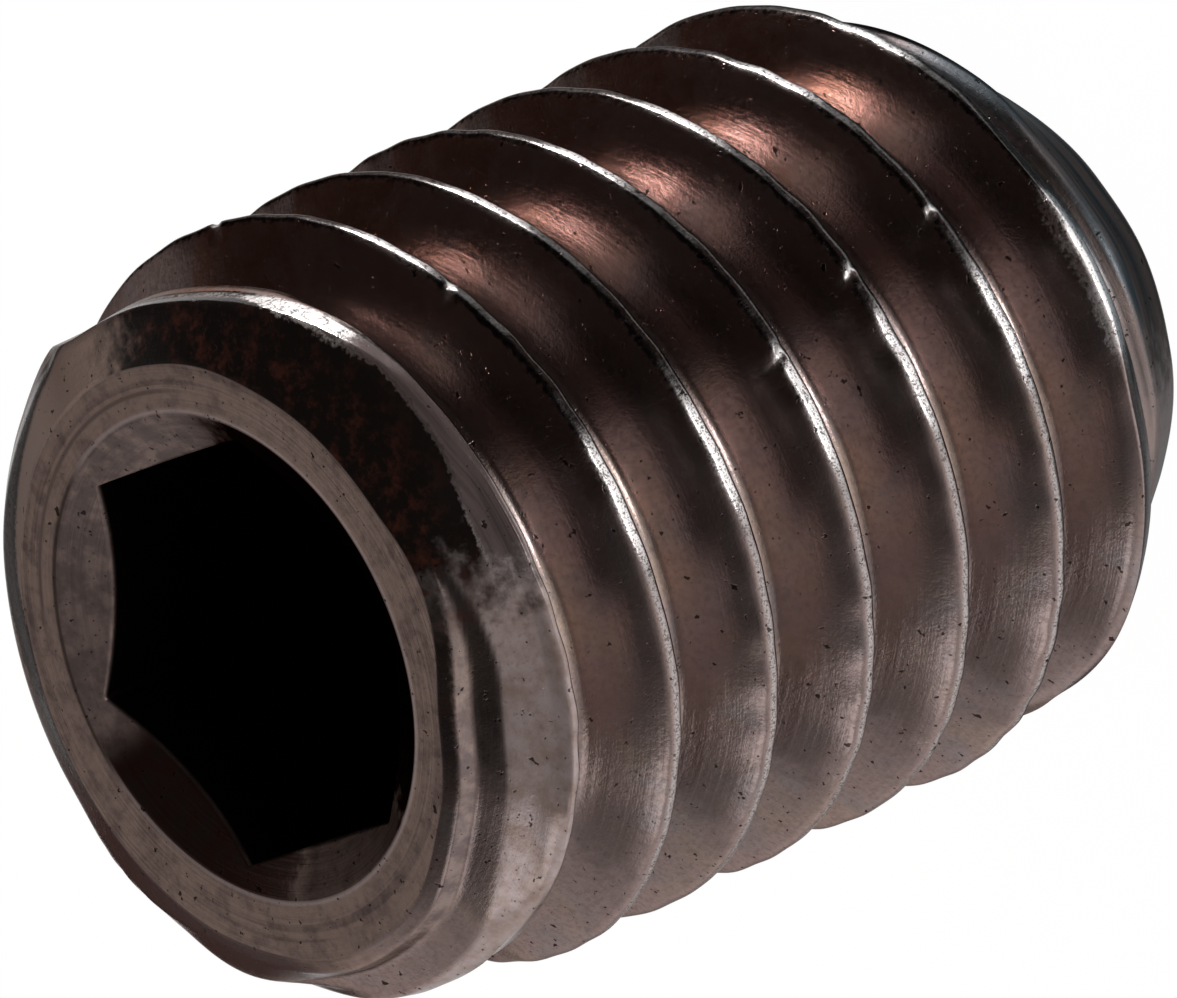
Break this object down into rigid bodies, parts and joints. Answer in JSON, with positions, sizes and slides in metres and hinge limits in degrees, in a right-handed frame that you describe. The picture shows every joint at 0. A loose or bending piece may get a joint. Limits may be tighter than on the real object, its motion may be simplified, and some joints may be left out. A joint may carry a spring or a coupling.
{
  "type": "socket set screw",
  "caption": "Headless set screw with a full-length right-hand thread, a hexagon socket in one end and a flat point on the other.",
  "frame": {"origin": "middle of the flat point, on the screw's axis", "axes": "+Z along the axis from the flat point up to the socket end; -Y is the side that the picture looks at from above"},
  "size_m": [0.006, 0.006, 0.0077],
  "materials": {
    "dark_steel": "alloy steel with a thin, slightly oily brown-black oxide; polished flanks, bright worn thread crests, plain turned socket end"
  },
  "bodies": {
    "root": {"screw": "dark_steel"}
  },
  "joints": []
}
